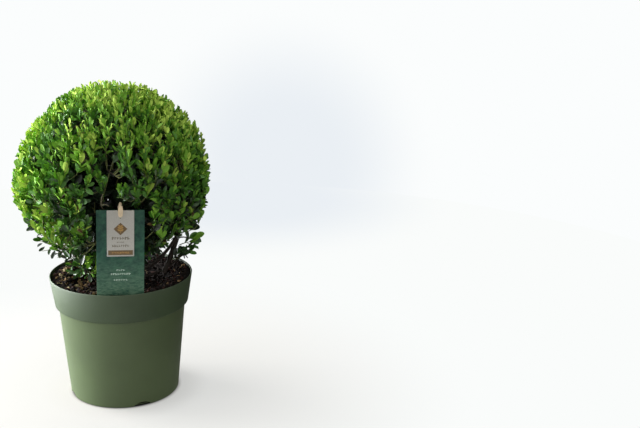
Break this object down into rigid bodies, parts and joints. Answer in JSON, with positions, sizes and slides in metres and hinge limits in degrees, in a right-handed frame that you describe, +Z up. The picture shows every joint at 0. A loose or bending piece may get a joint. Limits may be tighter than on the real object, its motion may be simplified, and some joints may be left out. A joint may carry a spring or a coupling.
{
  "type": "potted japanese holly",
  "caption": "Small evergreen shrub clipped to a ball, on a short stem in a round tapered grower's pot filled with potting soil, with a plain plant label and a small peg.",
  "frame": {"origin": "centre of the pot's flat underside", "axes": "+Z up, -Y towards the front, where the label stands, +X to the right"},
  "size_m": [0.251, 0.2419, 0.4253],
  "materials": {
    "pot_plastic": "satin",
    "potting_soil": "matte",
    "bark": "matte",
    "leaf": "satin",
    "low_leaf": "satin",
    "label_card": "satin",
    "label_panel": "matte",
    "peg_wood": "matte",
    "peg_wire": "satin"
  },
  "bodies": {
    "root": {"pot": "pot_plastic", "potting_soil": "potting_soil", "main_stem": "bark", "bough_top": "bark", "bough_upper_1": "bark", "bough_upper_2": "bark", "bough_upper_3": "bark", "bough_upper_4": "bark", "bough_upper_5": "bark", "bough_lower_1": "bark", "bough_lower_2": "bark", "bough_lower_3": "bark", "bough_lower_4": "bark", "bough_lower_5": "bark", "bough_sprig_right": "bark", "bough_sprig_front_left": "bark", "bough_sprig_back_left": "bark", "bough_sprig_back_right": "bark", "foliage_top": "leaf", "foliage_upper_1": "leaf", "foliage_upper_2": "leaf", "foliage_upper_3": "leaf", "foliage_upper_4": "leaf", "foliage_upper_5": "leaf", "foliage_lower_1": "low_leaf", "foliage_lower_2": "low_leaf", "foliage_lower_3": "low_leaf", "foliage_lower_4": "low_leaf", "foliage_lower_5": "low_leaf", "foliage_sprig_right": "low_leaf", "foliage_sprig_front_left": "low_leaf", "foliage_sprig_back_left": "low_leaf", "foliage_sprig_back_right": "low_leaf", "label_card": "label_card", "label_panel": "label_panel", "peg_leg_back": "peg_wood", "peg_leg_front": "peg_wood", "peg_spring": "peg_wire"}
  },
  "joints": []
}
